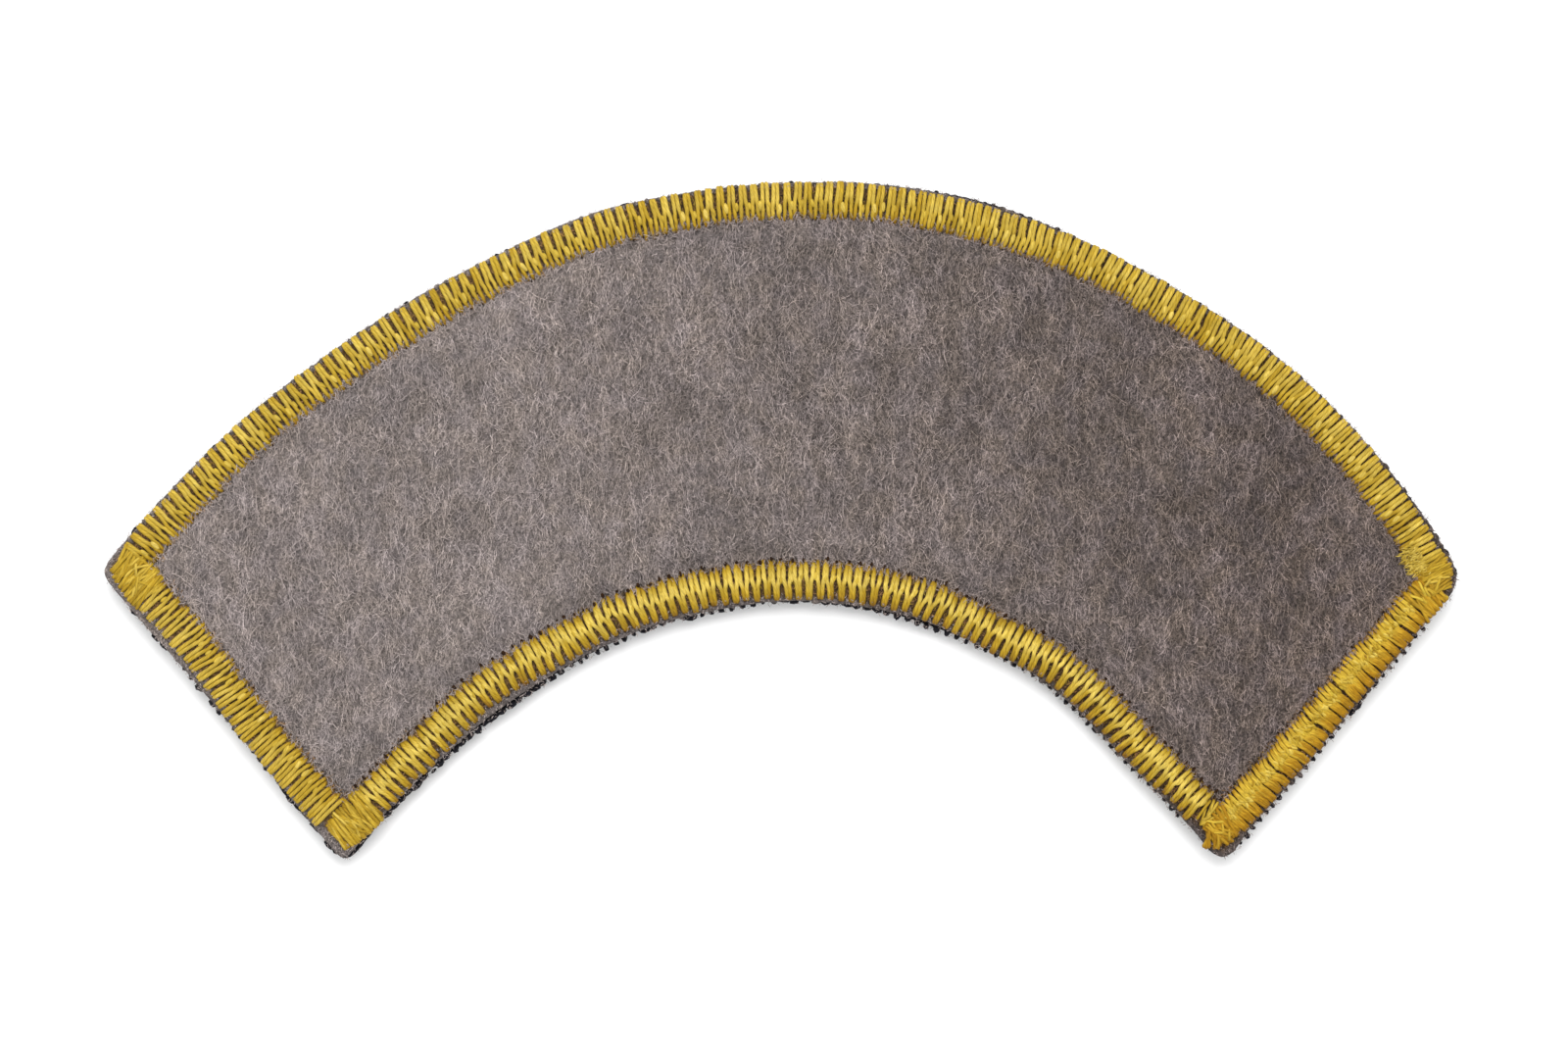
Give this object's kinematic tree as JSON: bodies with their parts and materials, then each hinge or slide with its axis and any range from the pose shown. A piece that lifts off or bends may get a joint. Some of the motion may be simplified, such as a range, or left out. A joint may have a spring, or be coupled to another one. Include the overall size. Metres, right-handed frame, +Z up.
{
  "type": "military unit patch",
  "caption": "Arched, fan-shaped cloth shoulder patch: grey felt on black wool cloth, joined all round by a wide yellow zigzag.",
  "frame": {"origin": "middle of the outline's box, on the surface that the patch lies on", "axes": "+X from the left end to the right, +Y towards the crown of the arch, +Z up out of the grey felt face"},
  "size_m": [0.1148, 0.0576, 0.0037],
  "materials": {
    "grey_felt": "matte hairy wool felt",
    "black_wool": "matte napped wool cloth",
    "yellow_thread": "soft sheen of mercerised cotton thread"
  },
  "bodies": {
    "root": {"felt_face": "grey_felt", "wool_base": "black_wool", "upper_stitching": "yellow_thread", "lower_stitching": "yellow_thread", "left_stitching": "yellow_thread", "right_stitching": "yellow_thread", "upper_understitching": "yellow_thread", "lower_understitching": "yellow_thread", "left_understitching": "yellow_thread", "right_understitching": "yellow_thread"}
  },
  "joints": []
}
